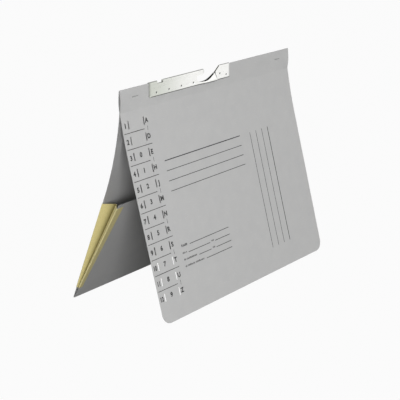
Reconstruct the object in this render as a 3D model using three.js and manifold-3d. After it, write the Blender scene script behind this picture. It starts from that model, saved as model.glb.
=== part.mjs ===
// A hanging fastener folder of grey card, standing open like a tent on its two lower edges.
// X runs along the spine, the front cover leans out towards -Y, the back cover towards +Y, Z is up.
// Each piece is drawn from the top of the spine fold, and the whole is then set on the ground.
import * as THREE from "three";
import { mergeVertices } from "three/addons/utils/BufferGeometryUtils.js";
import Module from "manifold-3d";

const wasm = await Module();
wasm.setup();

// Card
const COVER_WIDTH = 318; // along the spine
const CARD = 0.4; // thickness of the manila card
const LAYER_GAP = 0.3; // between the two layers of the spine
const CREASE_DEPTH = 25; // from the top fold to the hinge creases
const HINGE_GAP = 0.5; // at each crease, so that a cover can turn
const BACK_LENGTH = 240; // from the crease to the bottom fold, along the card
const END_BOW = 1; // how far each spine layer bows out at the two ends
const BOW_LENGTH = 24; // length of spine that bows, at each end

// How the covers hang out from the creases, in degrees and millimetres
const FRONT_LEAN = 9.5;
const FRONT_CURL = 5.6;
const FRONT_CURL_LENGTH = 55;
const BACK_LEAN = 6.5;
const BACK_CURL = 15.3;
const BACK_CURL_LENGTH = 100;
const FRONT_CORNER_RADIUS = 12;

// Index slots through the front cover
const SLOT_COUNT = 12;
const SLOT_PITCH = 17.5;
const FIRST_SLOT_DEPTH = 39; // middle of the first slot, from the top fold
const SLOT_HEIGHT = 9;
const SLOT_WIDTH = 1.7;
const SLOT_COLUMNS = [10.5, 35.6]; // from the left edge

// Print on the front cover, pressed in as shallow lines
const PRINT_DEPTH = 0.1;
const FINE_LINE = 0.5;
const BOLD_LINE = 0.8;
const ROW_LINE_START = 1.5; // from the left edge
const ROW_LINE_SHORT = 32;
const ROW_LINE_LONG = 41;
const TITLE_RULES = { left: 57, length: 140.4, depth: 88.3, pitch: 11.5, count: 4 };
const LEDGER_RULES = { left: 218, length: 143.6, depth: 88.3, pitch: 12.3, count: 4 };
const FORM_RULES = { left: 68.3, length: 73, depth: 186, pitch: 8, count: 4 };
const TICK = { offset: 6, height: 4.4 }; // the short dash between two letters of the right column

// Pocket on the inside of the back cover
const PANEL_HEIGHT = 144; // from the bottom fold to the pocket's mouth
const PANEL_LEAN = 8; // degrees between the panel and the back cover
const FOLD_RADIUS = 0.7; // middle line of the card at the bottom fold
const TAPE = 0.25; // thickness of the linen tape
const TAPE_GAP = 0.15;
const TAPE_LAP = 9.5;
const TAPE_LAP_FOOT = 5; // the lap tapers towards the bottom fold
const TAPE_START = 14; // height above the bottom fold, along the back
const TAPE_TOP_BACK = 131;
const TAPE_TOP_PANEL = 139;
const GUSSET_DEPTH = 11; // how far the gusset's valley lies inside the edge, at the top
const GUSSET_VALLEY = 0.5; // flat left at the bottom of the valley

// Steel hanging rail, folded over the spine
const STEEL = 0.5;
const RAIL_CLEARANCE = 0.3;
const RAIL_DROP = 16.2; // plate edge below the top fold
const RAIL_LEFT = 111.5; // reach from the folder's middle
const RAIL_RIGHT = 34.5;
const RAIL_CHAMFER = 1.8;
const NOTCH = { left: -97.6, width: 9.7, depth: 2.4 };
const BULGE = 1.8; // how far the tongue under the hook stands proud of the front, at its lower edge
const BULGE_TOP = 7; // depth at which the tongue starts to stand out
const SLIT_WIDTH = 0.9;
const DIMPLE = { radius: 1.2, depth: 0.3, drop: 12 };
const DIMPLE_FIRST = 12.2; // from the rail's left end
const DIMPLE_PITCH = 21.8;
const DIMPLE_COUNT = 4;
const END_DIMPLES = [{ inset: 18.4, drop: 9.2 }, { inset: 6, drop: 12.2 }];

// Hook opening in the rail, from the folder's middle and the top fold
const LIP_TIP = -13.4;
const LIP_DROP = 5.6;
const THROAT_END = -27.6;
const THROAT_RADIUS = 2.1;
const CRADLE = { x: -14, drop: 13.6 };
const TONGUE_TIP = { x: 6.6, drop: 6.9 };
const MOUTH_RIGHT = 15.4;
const SLIT_DROP = 12.9;

// Wire staples through the spine, near its ends
const STAPLE = { wire: 0.6, width: 9, drop: 10, inset: 24.5, clinch: 3.4 };
const STAPLE_CLEARANCE = 0.25;

// Filing fastener inside the back cover
const FASTENER_DEPTH = 27; // its middle, below the crease
const PRONG_SPACING = 80;
const PRONG_WIDTH = 4;
const PRONG_REACH = 26; // length of each prong's folded leaf
const SHEET = 0.3; // thickness of the base and its prongs
const STACK_GAP = 0.15;
const BASE = { length: 96, width: 7 };
const STRIP = { length: 130, width: 24, radius: 3 };
const BAR = { length: 100, width: 7, thickness: 0.6, foot: 4 };
const LOCK = { length: 9, wall: 0.35, lip: 1.35, side: 0.25, x: 24 };

const MIDDLE = LAYER_GAP / 2 + CARD / 2; // from the middle plane to the middle of a spine layer
const RAIL_INSIDE = LAYER_GAP / 2 + CARD + RAIL_CLEARANCE;
const RAIL_OUTSIDE = RAIL_INSIDE + STEEL;
const FOLD_CENTRE = -(LAYER_GAP / 2 + CARD); // height of the top fold's centre
const FRONT = -1;
const BACK = 1;
const CUT = 10; // spare length of a cutter past the piece that it cuts
const radians = THREE.MathUtils.degToRad;
const smooth = THREE.MathUtils.smoothstep;

// Solids and cuts

function signedVolume(position, index) {
  let six = 0;
  const a = new THREE.Vector3();
  const b = new THREE.Vector3();
  const c = new THREE.Vector3();
  for (let i = 0; i < index.length; i += 3) {
    a.fromArray(position, 3 * index[i]);
    b.fromArray(position, 3 * index[i + 1]);
    c.fromArray(position, 3 * index[i + 2]);
    six += a.dot(b.cross(c));
  }
  return six / 6;
}

function solidOf(geometry) {
  const bare = geometry.clone();
  bare.deleteAttribute("normal");
  bare.deleteAttribute("uv");
  const merged = mergeVertices(bare, 1e-5);
  const vertProperties = new Float32Array(merged.attributes.position.array);
  const triVerts = new Uint32Array(merged.index.array);
  if (signedVolume(vertProperties, triVerts) < 0) triVerts.reverse();
  return new wasm.Manifold(new wasm.Mesh({ numProp: 3, vertProperties, triVerts }));
}

function geometryOf(solid) {
  const mesh = solid.getMesh();
  const geometry = new THREE.BufferGeometry();
  geometry.setAttribute("position", new THREE.BufferAttribute(new Float32Array(mesh.vertProperties), 3));
  geometry.setIndex(new THREE.BufferAttribute(new Uint32Array(mesh.triVerts), 1));
  const flat = geometry.toNonIndexed();
  flat.computeVertexNormals();
  return flat;
}

function joined(solids) {
  return solids.reduce((sum, solid) => sum.add(solid));
}

function cutBy(solid, cutters) {
  return cutters.reduce((rest, cutter) => rest.subtract(cutter), solid);
}

function shapeOf(points) {
  return new THREE.Shape(points.map(([a, b]) => new THREE.Vector2(a, b)));
}

// A section in Y and Z, drawn out along X from one end to the other.
function alongX(points, from, to) {
  const geometry = new THREE.ExtrudeGeometry(shapeOf(points), { depth: to - from, bevelEnabled: false });
  const turn = new THREE.Matrix4().set(0, 0, 1, from, 1, 0, 0, 0, 0, 1, 0, 0, 0, 0, 0, 1);
  return solidOf(geometry.applyMatrix4(turn));
}

// An outline in X and Z, drawn out along Y.
function alongY(shape, from, to) {
  const geometry = new THREE.ExtrudeGeometry(shape, {
    depth: to - from, bevelEnabled: false, curveSegments: 8,
  });
  return solidOf(geometry.rotateX(Math.PI / 2).translate(0, to, 0));
}

function block(width, depth, height, x, y, z) {
  return solidOf(new THREE.BoxGeometry(width, depth, height).translate(x, y, z));
}

// A skin through rings of equally many points, closed by a face at each end.
function loft(rings, capPlane) {
  const count = rings[0].length;
  const position = rings.flat().flatMap((point) => point.toArray());
  const index = [];
  for (let ring = 0; ring < rings.length - 1; ring += 1) {
    for (let i = 0; i < count; i += 1) {
      const a = ring * count + i;
      const b = ring * count + ((i + 1) % count);
      index.push(a, b, b + count, a, b + count, a + count);
    }
  }
  const outline = rings[0].map((point) => new THREE.Vector2(point[capPlane[0]], point[capPlane[1]]));
  if (THREE.ShapeUtils.isClockWise(outline)) outline.reverse();
  const clockwise = THREE.ShapeUtils.isClockWise(
    rings[0].map((point) => new THREE.Vector2(point[capPlane[0]], point[capPlane[1]])),
  );
  const order = [...Array(count).keys()];
  if (clockwise) order.reverse();
  const last = (rings.length - 1) * count;
  for (const [a, b, c] of THREE.ShapeUtils.triangulateShape(outline, [])) {
    const face = clockwise ? [order[a], order[b], order[c]] : [order[c], order[b], order[a]];
    index.push(...face);
    index.push(last + face[2], last + face[1], last + face[0]);
  }
  const geometry = new THREE.BufferGeometry();
  geometry.setAttribute("position", new THREE.Float32BufferAttribute(position, 3));
  geometry.setIndex(index);
  return solidOf(geometry);
}

// Card in section

// The line that a card takes from its start: each run has a length and turns steadily by an angle.
function cardLine(side, start, lean, runs) {
  const line = [{ y: start[0], z: start[1], angle: lean, along: 0 }];
  for (const run of runs) {
    const steps = run.turn === 0 ? 1 : run.steps;
    for (let i = 0; i < steps; i += 1) {
      const last = line[line.length - 1];
      const angle = last.angle + run.turn / steps;
      const middle = (last.angle + angle) / 2;
      const step = run.length / steps;
      line.push({
        y: last.y + side * step * Math.sin(middle),
        z: last.z - step * Math.cos(middle),
        angle,
        along: last.along + step,
      });
    }
  }
  return line;
}

// The line's two faces, half a thickness to each side.
function cardSection(line, side, thickness) {
  const face = (sign) => line.map(({ y, z, angle }) => [
    y + sign * side * (thickness / 2) * Math.cos(angle),
    z + sign * (thickness / 2) * Math.sin(angle),
  ]);
  return [...face(1), ...face(-1).reverse()];
}

// The point at a distance along a line, and the card's angle there.
function pointAt(line, along) {
  let i = 1;
  while (i < line.length - 1 && line[i].along < along) i += 1;
  const a = line[i - 1];
  const b = line[i];
  const share = (along - a.along) / (b.along - a.along);
  const mix = THREE.MathUtils.lerp;
  return { y: mix(a.y, b.y, share), z: mix(a.z, b.z, share), angle: mix(a.angle, b.angle, share) };
}

// A cutter drawn flat about the origin, set on a line of card.
function setOn(geometry, line, side, along, x) {
  const place = pointAt(line, along);
  return solidOf(geometry.rotateX(side * place.angle).translate(x, place.y, place.z));
}

const creaseStart = (side) => [side * MIDDLE, -CREASE_DEPTH - HINGE_GAP / 2];

const backRuns = [
  { length: BACK_CURL_LENGTH, turn: radians(BACK_CURL), steps: 12 },
  { length: BACK_LENGTH - BACK_CURL_LENGTH, turn: 0 },
];
const backLine = cardLine(BACK, creaseStart(BACK), radians(BACK_LEAN), backRuns);
const backFoot = backLine[backLine.length - 1];
const foldTurn = Math.PI - radians(PANEL_LEAN);
const wholeBackLine = cardLine(BACK, creaseStart(BACK), radians(BACK_LEAN), [
  ...backRuns,
  { length: FOLD_RADIUS * foldTurn, turn: -foldTurn, steps: 8 },
  { length: PANEL_HEIGHT, turn: 0 },
]);
const backSection = cardSection(wholeBackLine, BACK, CARD);
const GROUND = Math.min(...backSection.map(([, z]) => z)); // level of the ground below the top fold

// The front cover is trimmed so that its edge stands level with the bottom fold of the back.
const frontAngle = radians(FRONT_LEAN + FRONT_CURL);
const frontCurl = { length: FRONT_CURL_LENGTH, turn: radians(FRONT_CURL), steps: 8 };
const frontBend = cardLine(FRONT, creaseStart(FRONT), radians(FRONT_LEAN), [frontCurl]);
const bendEnd = frontBend[frontBend.length - 1];
const straightDrop = bendEnd.z - GROUND - (CARD / 2) * Math.sin(frontAngle);
const frontRuns = [frontCurl, { length: straightDrop / Math.cos(frontAngle), turn: 0 }];
const frontLine = cardLine(FRONT, creaseStart(FRONT), radians(FRONT_LEAN), frontRuns);
const frontFoot = frontLine[frontLine.length - 1];
const fromLeft = (distance) => distance - COVER_WIDTH / 2;
const belowCrease = (depth) => depth - CREASE_DEPTH - HINGE_GAP / 2; // from a depth below the top fold

// Hook opening, shared by the rail and the card inside it

function hookShape() {
  const shape = new THREE.Shape();
  const top = RAIL_OUTSIDE + CUT;
  shape.moveTo(LIP_TIP - 1, top);
  shape.lineTo(LIP_TIP - 1, 0);
  shape.quadraticCurveTo(LIP_TIP + 0.8, -LIP_DROP * 0.6, LIP_TIP - 2.4, -LIP_DROP);
  shape.lineTo(THROAT_END + THROAT_RADIUS, -LIP_DROP);
  shape.absarc(
    THROAT_END + THROAT_RADIUS, -LIP_DROP - THROAT_RADIUS, THROAT_RADIUS, Math.PI / 2, Math.PI * 1.15,
  );
  shape.bezierCurveTo(
    THROAT_END + 1.5, -CRADLE.drop + 1.4, CRADLE.x - 8, -CRADLE.drop, CRADLE.x, -CRADLE.drop,
  );
  shape.bezierCurveTo(
    CRADLE.x + 8, -CRADLE.drop, TONGUE_TIP.x - 7, -TONGUE_TIP.drop - 3.4, TONGUE_TIP.x, -TONGUE_TIP.drop,
  );
  shape.lineTo(MOUTH_RIGHT, 0);
  shape.lineTo(MOUTH_RIGHT, top);
  shape.closePath();
  return shape;
}

function notchShape() {
  const right = NOTCH.left + NOTCH.width;
  const top = RAIL_OUTSIDE + CUT;
  return shapeOf([[NOTCH.left, -NOTCH.depth], [right, -NOTCH.depth], [right, top], [NOTCH.left, top]]);
}

const spineOpenings = [hookShape(), notchShape()].map((shape) => alongY(shape, -CUT, CUT));

// Pieces of the spine

// A folded section, from the front's free edge up and over the top and down the back.
function foldedRing(x, halfThickness, thickness, levels, push) {
  const arc = [15, 30, 45, 60, 75, 90].map(radians);
  const half = (radius, side) => [
    ...levels.map((z) => [side * (radius + push(x, z, side)), z]),
    ...arc.map((angle) => [side * radius * Math.cos(angle), FOLD_CENTRE + radius * Math.sin(angle)]),
  ];
  const whole = (radius) => [...half(radius, FRONT), ...half(radius, BACK).slice(0, -1).reverse()];
  const outside = whole(halfThickness + thickness);
  const inside = whole(halfThickness).reverse();
  return [...outside, ...inside].map(([y, z]) => new THREE.Vector3(x, y, z));
}

function spineFold() {
  const foot = -CREASE_DEPTH + HINGE_GAP / 2;
  const levels = [1, 0.86, 0.7, 0.5, 0.3, 0.14, 0].map((share) => THREE.MathUtils.lerp(FOLD_CENTRE, foot, share));
  const end = COVER_WIDTH / 2;
  const bow = (x, z) => {
    const reach = Math.max(0, (Math.abs(x) - end + BOW_LENGTH) / BOW_LENGTH);
    const share = (FOLD_CENTRE - z) / (FOLD_CENTRE - foot);
    return END_BOW * reach * reach * Math.sin(Math.PI * share);
  };
  const shares = [1, 0.75, 0.5, 0.25, 0];
  const left = shares.map((share) => -end + BOW_LENGTH * (1 - share));
  const stations = [...left, ...left.map((x) => -x).reverse()];
  const fold = loft(stations.map((x) => foldedRing(x, LAYER_GAP / 2, CARD, levels, bow)), ["y", "z"]);
  const hole = STAPLE.wire + 2 * STAPLE_CLEARANCE;
  const legs = [-1, 1].flatMap((end_) => [-1, 1].map((leg) => {
    const x = end_ * (end - STAPLE.inset) + leg * (STAPLE.width - STAPLE.wire) / 2;
    return block(hole, CUT, hole, x, 0, -STAPLE.drop);
  }));
  return cutBy(fold, [...spineOpenings, ...legs]);
}

function hangingRail() {
  const bend = FOLD_CENTRE;
  const levels = [RAIL_DROP, 14.5, 12.5, 10.5, 8.5, 6.5, 4.5, 3].map((drop) => -drop).concat(bend);
  const push = (x, z, side) => {
    if (side === BACK) return 0;
    const lengthwise = smooth(x, THROAT_END + 4, CRADLE.x + 6)
      * (1 - smooth(x, TONGUE_TIP.x + SLIT_WIDTH, TONGUE_TIP.x + 7));
    return BULGE * lengthwise * smooth(-z, BULGE_TOP, RAIL_DROP - 1);
  };
  const swell = [];
  for (let x = THROAT_END + 4; x <= TONGUE_TIP.x + 8; x += 2.2) swell.push(x);
  const stations = [-RAIL_LEFT, ...swell, RAIL_RIGHT];
  const folded = loft(stations.map((x) => foldedRing(x, RAIL_INSIDE, STEEL, levels, push)), ["y", "z"]);
  const slit = shapeOf([
    [TONGUE_TIP.x - 0.2, -TONGUE_TIP.drop + 1.2],
    [TONGUE_TIP.x + 1.1, -SLIT_DROP],
    [TONGUE_TIP.x + 1.1 + SLIT_WIDTH, -SLIT_DROP],
    [TONGUE_TIP.x + SLIT_WIDTH, -TONGUE_TIP.drop + 1.2],
  ]);
  const chamfer = shapeOf([
    [-RAIL_LEFT - 1, -RAIL_DROP - 1],
    [-RAIL_LEFT + RAIL_CHAMFER, -RAIL_DROP - 1],
    [-RAIL_LEFT + RAIL_CHAMFER, -RAIL_DROP],
    [-RAIL_LEFT, -RAIL_DROP + RAIL_CHAMFER],
    [-RAIL_LEFT - 1, -RAIL_DROP + RAIL_CHAMFER],
  ]);
  const row = Array.from({ length: DIMPLE_COUNT }, (_, i) => (
    { x: -RAIL_LEFT + DIMPLE_FIRST + i * DIMPLE_PITCH, drop: DIMPLE.drop }
  ));
  const ends = END_DIMPLES.map(({ inset, drop }) => ({ x: RAIL_RIGHT - inset, drop }));
  const dimples = [...row, ...ends].flatMap(({ x, drop }) => [FRONT, BACK].map((side) => {
    const cone = new THREE.CylinderGeometry(DIMPLE.radius * 0.4, DIMPLE.radius * 1.2, DIMPLE.depth * 2, 12);
    cone.rotateX(side * Math.PI / -2).translate(x, side * (RAIL_OUTSIDE + push(x, -drop, side)), -drop);
    return solidOf(cone);
  }));
  return cutBy(folded, [
    ...spineOpenings, alongY(slit, -CUT, CUT), alongY(chamfer, -CUT, CUT), ...dimples,
  ]);
}

function spineStaple(end) {
  const { wire, width, drop, clinch } = STAPLE;
  const x = end * (COVER_WIDTH / 2 - STAPLE.inset);
  const face = LAYER_GAP / 2 + CARD + TAPE_GAP;
  const outer = face + wire;
  const crown = block(width, wire, wire, x, -(face + outer) / 2, -drop);
  const legs = [-1, 1].flatMap((leg) => [
    block(wire, 2 * outer, wire, x + leg * (width - wire) / 2, 0, -drop),
    block(clinch, wire, wire, x + leg * (width - clinch) / 2, (face + outer) / 2, -drop),
  ]);
  return joined([crown, ...legs]);
}

// Front cover

function slotCuts() {
  const cuts = [];
  for (let row = 0; row < SLOT_COUNT; row += 1) {
    for (const column of SLOT_COLUMNS) {
      const depth = belowCrease(FIRST_SLOT_DEPTH + row * SLOT_PITCH);
      const cutter = new THREE.BoxGeometry(SLOT_WIDTH, CARD * 4, SLOT_HEIGHT);
      cuts.push(setOn(cutter, frontLine, FRONT, depth, fromLeft(column)));
    }
  }
  return cuts;
}

// One printed line: a shallow channel in the outer face.
function printed(left, depth, length, height) {
  const cutter = new THREE.BoxGeometry(length, 2 * PRINT_DEPTH, height).translate(0, -CARD / 2, 0);
  return setOn(cutter, frontLine, FRONT, belowCrease(depth), fromLeft(left) + length / 2);
}

function printLines() {
  const lines = [];
  for (let row = 0; row < SLOT_COUNT; row += 1) {
    const middle = FIRST_SLOT_DEPTH + row * SLOT_PITCH + SLOT_PITCH / 2;
    const odd = row % 2 === 0;
    if (row < SLOT_COUNT - 1) {
      lines.push(printed(ROW_LINE_START, middle, odd ? ROW_LINE_SHORT : ROW_LINE_LONG, FINE_LINE));
    }
    if (odd) lines.push(printed(SLOT_COLUMNS[1] + TICK.offset, middle, FINE_LINE, TICK.height));
  }
  for (let i = 0; i < TITLE_RULES.count; i += 1) {
    const { left, length, depth, pitch } = TITLE_RULES;
    lines.push(printed(left, depth + i * pitch, length, i === 0 ? BOLD_LINE : FINE_LINE));
  }
  for (let i = 0; i < FORM_RULES.count; i += 1) {
    const { left, length, depth, pitch } = FORM_RULES;
    lines.push(printed(left, depth + i * pitch, length, FINE_LINE));
  }
  for (let i = 0; i < LEDGER_RULES.count; i += 1) {
    const { left, length, depth, pitch, count } = LEDGER_RULES;
    const line = i === count - 1 ? BOLD_LINE : FINE_LINE;
    lines.push(printed(left + i * pitch, depth + length / 2, line, length));
  }
  return lines;
}

// The waste outside a rounded lower corner.
function cornerWaste(end) {
  const radius = FRONT_CORNER_RADIUS;
  const corner = new THREE.Shape();
  corner.moveTo(-1, radius);
  corner.lineTo(0, radius);
  corner.absarc(radius, radius, radius, Math.PI, Math.PI * 1.5);
  corner.lineTo(radius, -1);
  corner.lineTo(-1, -1);
  corner.closePath();
  const flat = new THREE.ExtrudeGeometry(corner, { depth: CUT, bevelEnabled: false, curveSegments: 8 });
  flat.rotateX(Math.PI / 2).translate(0, CUT / 2, 0);
  if (end > 0) flat.rotateZ(Math.PI);
  flat.rotateX(FRONT * frontFoot.angle).translate(end * COVER_WIDTH / 2, frontFoot.y, frontFoot.z);
  return solidOf(flat);
}

function frontCover() {
  const sheet = alongX(cardSection(frontLine, FRONT, CARD), -COVER_WIDTH / 2, COVER_WIDTH / 2);
  return cutBy(sheet, [cornerWaste(-1), cornerWaste(1), ...slotCuts(), ...printLines()]);
}

// Back cover and pocket

function backCover() {
  return alongX(backSection, -COVER_WIDTH / 2, COVER_WIDTH / 2);
}

// A tape in section follows a line of points, at half its thickness to each side, with mitred bends.
function tapeRing(points) {
  const offset = (sign) => points.map((point, i) => {
    const before = points[Math.max(0, i - 1)];
    const after = points[Math.min(points.length - 1, i + 1)];
    const into = point.clone().sub(before).normalize();
    const out = after.clone().sub(point).normalize();
    if (i === 0) into.copy(out);
    if (i === points.length - 1) out.copy(into);
    const normal = new THREE.Vector2(-into.y - out.y, into.x + out.x).normalize();
    const mitre = (TAPE / 2) / Math.max(0.5, normal.dot(new THREE.Vector2(-into.y, into.x)));
    return point.clone().addScaledVector(normal, sign * mitre);
  });
  return [...offset(1), ...offset(-1).reverse()];
}

// The gusset's folds run straight and meet below the bottom fold, so that each leaf is flat.
function pocketGusset(end) {
  const panelStart = wholeBackLine[wholeBackLine.length - 2];
  const half = radians(PANEL_LEAN) / 2;
  const between = Math.hypot(panelStart.y - backFoot.y, panelStart.z - backFoot.z);
  const below = between / (2 * Math.sin(half)); // from the bottom fold down to where the two planes meet
  const up = (foot, angle, height) => new THREE.Vector2(
    foot.y - height * Math.sin(angle), foot.z + height * Math.cos(angle),
  );
  const panelShare = (below + TAPE_TOP_PANEL) / (below + TAPE_TOP_BACK);
  const edge = COVER_WIDTH / 2;
  const outside = edge + TAPE_GAP + TAPE / 2;
  const lay = CARD / 2 + TAPE_GAP + TAPE / 2;
  const sectionAt = (height) => {
    const onBack = up(backFoot, backFoot.angle, height);
    const panelHeight = panelShare * (below + height) - below;
    const onPanel = up(panelStart, backFoot.angle + 2 * half, panelHeight);
    return { onBack, across: onPanel.clone().sub(onBack), width: onPanel.distanceTo(onBack) };
  };
  const topWidth = sectionAt(TAPE_TOP_BACK).width;
  const meeting = 2 * lay + GUSSET_VALLEY; // the width at which the valley reaches the edge
  const rings = [TAPE_START, TAPE_TOP_BACK].map((height, ring) => {
    const { onBack, across, width } = sectionAt(height);
    across.normalize();
    const valley = outside - (GUSSET_DEPTH * (width - meeting)) / (topWidth - meeting);
    const lap = ring === 0 ? TAPE_LAP_FOOT : TAPE_LAP;
    const line = [
      [edge - lap, -lay],
      [outside, -lay],
      [outside, lay],
      [valley, width / 2 - GUSSET_VALLEY / 2],
      [valley, width / 2 + GUSSET_VALLEY / 2],
      [outside, width - lay],
      [outside, width + lay],
      [edge - lap, width + lay],
    ].map(([x, w]) => new THREE.Vector2(x, w));
    return tapeRing(line).map(({ x, y: w }) => new THREE.Vector3(
      end * x, onBack.x + across.x * w, onBack.y + across.y * w,
    ));
  });
  return loft(rings, ["x", "y"]);
}

// Filing fastener, drawn about its own middle: -Y is away from the card, Z is up the card

const baseBack = STACK_GAP;
const stripBack = baseBack + SHEET + STACK_GAP;
const lipBack = stripBack + CARD + STACK_GAP;
const barBack = lipBack + LOCK.wall + LOCK.side;
const leafBack = barBack + BAR.thickness + STACK_GAP;
const lockTop = leafBack + SHEET + STACK_GAP;

function plate(length, width, radius, from, to) {
  const shape = new THREE.Shape();
  const x = length / 2 - radius;
  const z = width / 2 - radius;
  shape.absarc(x, z, radius, 0, Math.PI / 2);
  shape.absarc(-x, z, radius, Math.PI / 2, Math.PI);
  shape.absarc(-x, -z, radius, Math.PI, Math.PI * 1.5);
  shape.absarc(x, -z, radius, Math.PI * 1.5, Math.PI * 2);
  shape.closePath();
  const geometry = new THREE.ExtrudeGeometry(shape, { depth: to - from, bevelEnabled: false, curveSegments: 5 });
  return solidOf(geometry.rotateX(Math.PI / 2).translate(0, -from, 0));
}

function prongHoles() {
  return [-1, 1].map((end) => (
    block(SHEET + 4 * STACK_GAP, CUT, PRONG_WIDTH + 4 * STACK_GAP, end * PRONG_SPACING / 2, 0, 0)
  ));
}

function fastenerBase() {
  const prongs = [-1, 1].flatMap((end) => {
    const stem = leafBack + SHEET - baseBack;
    const x = end * PRONG_SPACING / 2;
    return [
      block(SHEET, stem, PRONG_WIDTH, x, -baseBack - stem / 2, 0),
      block(PRONG_REACH, SHEET, PRONG_WIDTH, x - end * (PRONG_REACH - SHEET) / 2, -leafBack - SHEET / 2, 0),
    ];
  });
  return joined([plate(BASE.length, BASE.width, 2, baseBack, baseBack + SHEET), ...prongs]);
}

function fastenerStrip() {
  return cutBy(plate(STRIP.length, STRIP.width, STRIP.radius, stripBack, stripBack + CARD), prongHoles());
}

function fastenerBar() {
  const feet = [-1, 1].map((end) => {
    const height = barBack - lipBack;
    const x = end * (BAR.length / 2 - BAR.foot);
    return block(BAR.foot, height + BAR.thickness / 2, BAR.width - 2, x, -lipBack - height / 2 - BAR.thickness / 4, 0);
  });
  const bar = plate(BAR.length, BAR.width, 2.5, barBack, barBack + BAR.thickness);
  return cutBy(joined([bar, ...feet]), prongHoles());
}

function fastenerLock(end) {
  const half = BAR.width / 2 + LOCK.side;
  const outer = half + LOCK.wall;
  const lip = half - LOCK.lip;
  const section = [
    [-lipBack, lip], [-lipBack, outer], [-lockTop - LOCK.wall, outer], [-lockTop - LOCK.wall, -outer],
    [-lipBack, -outer], [-lipBack, -lip], [-lipBack - LOCK.wall, -lip], [-lipBack - LOCK.wall, -half],
    [-lockTop, -half], [-lockTop, half], [-lipBack - LOCK.wall, half], [-lipBack - LOCK.wall, lip],
  ];
  const x = end * LOCK.x;
  return alongX(section, x - LOCK.length / 2, x + LOCK.length / 2);
}

// Materials

const card = { color: 0xb9b9b8, roughness: 0.85, metalness: 0 };
const railSteel = { color: 0xe6e7e2, roughness: 0.32, metalness: 0.9 };
const wireSteel = { color: 0x8d8f8e, roughness: 0.4, metalness: 0.9 };
const linen = { color: 0xd3c68c, roughness: 0.9, metalness: 0 };
const fastenerSteel = { color: 0xc9cbc8, roughness: 0.35, metalness: 0.9 };

function piece(name, solid, finish) {
  const mesh = new THREE.Mesh(geometryOf(solid), new THREE.MeshStandardMaterial(finish));
  mesh.name = name;
  return mesh;
}

// Assembly

const folder = new THREE.Group();
folder.position.set(0, (FRONT * frontFoot.y - backFoot.y) / 2, -GROUND);
folder.add(
  piece("spine_fold", spineFold(), card),
  piece("hanging_rail", hangingRail(), railSteel),
  piece("spine_staple_left", spineStaple(-1), wireSteel),
  piece("spine_staple_right", spineStaple(1), wireSteel),
  piece("front_cover", frontCover(), card),
  piece("back_cover", backCover(), card),
  piece("pocket_gusset_left", pocketGusset(-1), linen),
  piece("pocket_gusset_right", pocketGusset(1), linen),
);

const seatPlace = pointAt(backLine, FASTENER_DEPTH);
const seat = new THREE.Group();
seat.position.set(
  0,
  seatPlace.y - (CARD / 2) * Math.cos(seatPlace.angle),
  seatPlace.z - (CARD / 2) * Math.sin(seatPlace.angle),
);
seat.rotation.x = seatPlace.angle;
seat.add(
  piece("fastener_base", fastenerBase(), fastenerSteel),
  piece("fastener_strip", fastenerStrip(), card),
  piece("fastener_bar", fastenerBar(), fastenerSteel),
  piece("fastener_lock_left", fastenerLock(-1), fastenerSteel),
  piece("fastener_lock_right", fastenerLock(1), fastenerSteel),
);
folder.add(seat);

export default folder;
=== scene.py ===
"""A hanging folder of grey manila card with a steel hook rail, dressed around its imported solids."""

import math

import bpy
import numpy as np
from mathutils import Matrix, Vector


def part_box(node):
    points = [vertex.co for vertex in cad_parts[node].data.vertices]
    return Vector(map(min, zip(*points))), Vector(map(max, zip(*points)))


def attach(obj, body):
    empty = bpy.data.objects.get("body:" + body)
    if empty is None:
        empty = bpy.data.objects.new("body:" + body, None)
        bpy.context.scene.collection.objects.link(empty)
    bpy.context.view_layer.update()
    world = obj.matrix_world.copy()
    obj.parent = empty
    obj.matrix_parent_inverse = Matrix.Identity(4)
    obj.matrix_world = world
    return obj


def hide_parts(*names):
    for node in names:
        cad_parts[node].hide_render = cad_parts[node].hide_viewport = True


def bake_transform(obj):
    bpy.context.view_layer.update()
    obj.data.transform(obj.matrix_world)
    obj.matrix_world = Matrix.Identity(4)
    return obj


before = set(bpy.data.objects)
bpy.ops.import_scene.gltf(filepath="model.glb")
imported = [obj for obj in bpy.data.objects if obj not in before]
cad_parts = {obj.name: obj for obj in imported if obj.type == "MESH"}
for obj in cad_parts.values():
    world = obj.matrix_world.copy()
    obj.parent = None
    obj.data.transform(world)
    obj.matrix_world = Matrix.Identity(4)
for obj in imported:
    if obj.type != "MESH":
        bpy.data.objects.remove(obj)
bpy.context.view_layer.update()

# Lengths are in millimetres until a mesh is made. X runs along the spine, z = 0 is the crown of the top fold.
MM = 0.001
FRONT, BACK = -1, 1

WIDTH = 318.0
CARD = 0.4
LAYER_GAP = 0.3
CROWN_ARC = (LAYER_GAP + CARD) / 2 * math.pi / 2
HINGE = 25.25
HINGE_SOFTNESS = 0.9
SPINE_FOOT = 24.75
END_BOW, BOW_LENGTH = 1.0, 24.0

FRONT_LEAN, FRONT_CURL, FRONT_CURL_LENGTH = math.radians(9.5), math.radians(5.6), 55.0
BACK_LEAN, BACK_CURL, BACK_CURL_LENGTH = math.radians(6.5), math.radians(15.3), 100.0
BACK_LENGTH = 240.0
CORNER_RADIUS = 12.0
PANEL_HEIGHT, PANEL_LEAN, FOLD_RADIUS = 144.0, math.radians(8), 0.7
COCKLE = 0.22

SLOT_ROWS, SLOT_PITCH, FIRST_SLOT = 12, 17.5, 39.0
SLOT_SIZE = (1.7, 9.0)
SLOT_COLUMNS = (10.5, 35.6)

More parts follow.
